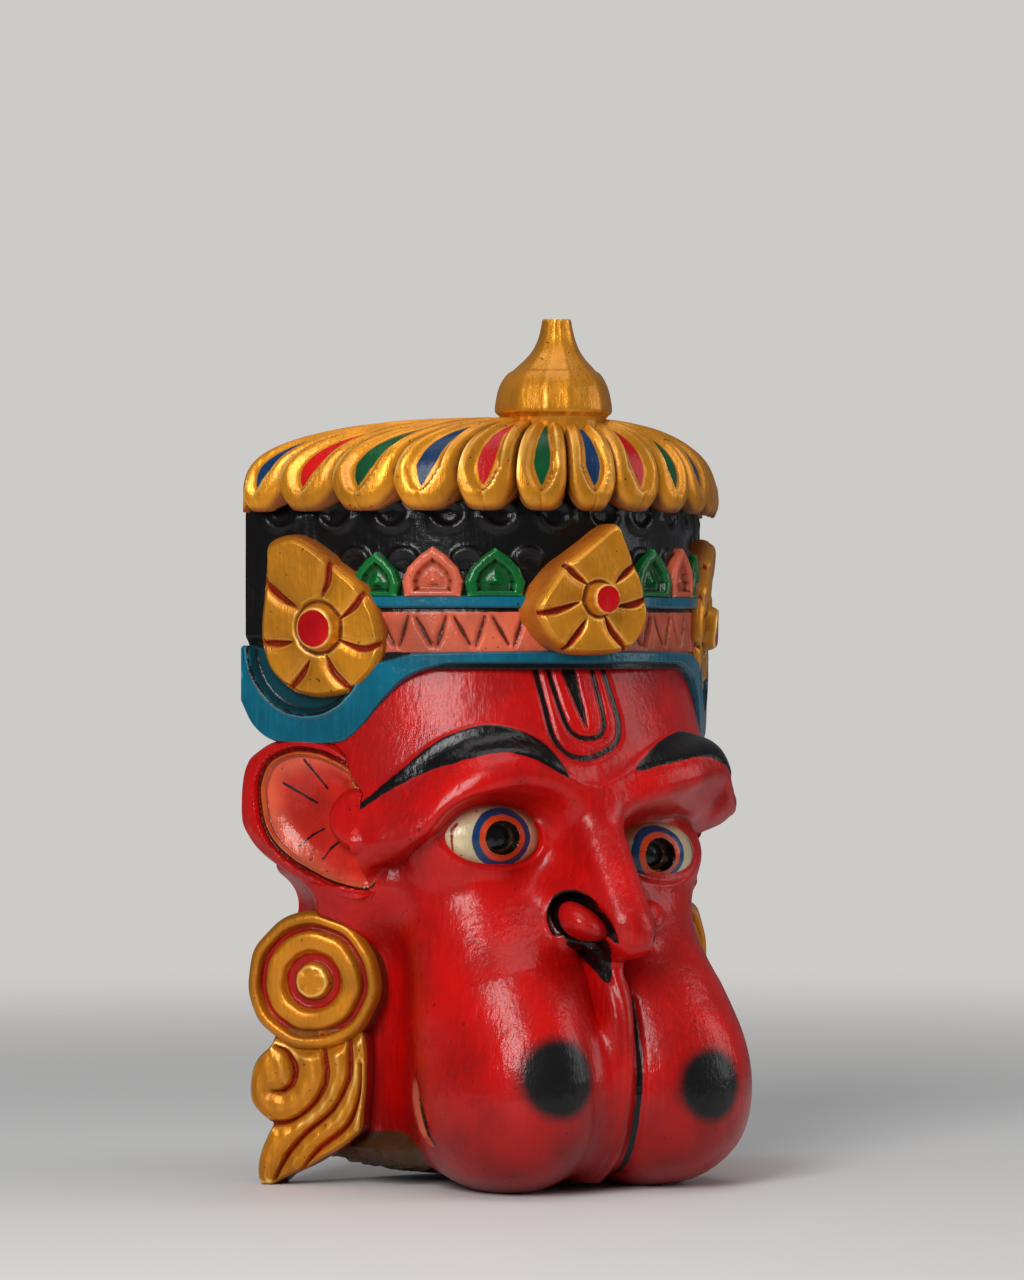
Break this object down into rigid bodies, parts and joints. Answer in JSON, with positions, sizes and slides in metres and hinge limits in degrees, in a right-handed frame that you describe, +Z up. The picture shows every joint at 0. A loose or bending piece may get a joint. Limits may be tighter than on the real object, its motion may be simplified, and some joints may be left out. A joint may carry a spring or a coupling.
{
  "type": "carved mask",
  "caption": "Carved and painted wooden monkey-hero mask with a petalled crown, round finial and ear discs, hollow and flat behind, to hang or stand.",
  "frame": {"origin": "middle of the bounding box in x and y, on the floor the mask stands on", "axes": "+Z up along the face, the face looks along -Y, the flat back is at the largest y, +X is to the right as one faces the mask"},
  "size_m": [0.2054, 0.118, 0.318],
  "materials": {
    "red_lacquer": "glossy red lacquer over carved wood",
    "gold_paint": "satin gold paint",
    "black_paint": "glossy black paint",
    "blue_paint": "glossy dark blue paint",
    "salmon_paint": "satin salmon paint",
    "bare_wood": "bare tool-marked wood"
  },
  "bodies": {
    "root": {"mask": "red_lacquer"}
  },
  "joints": []
}
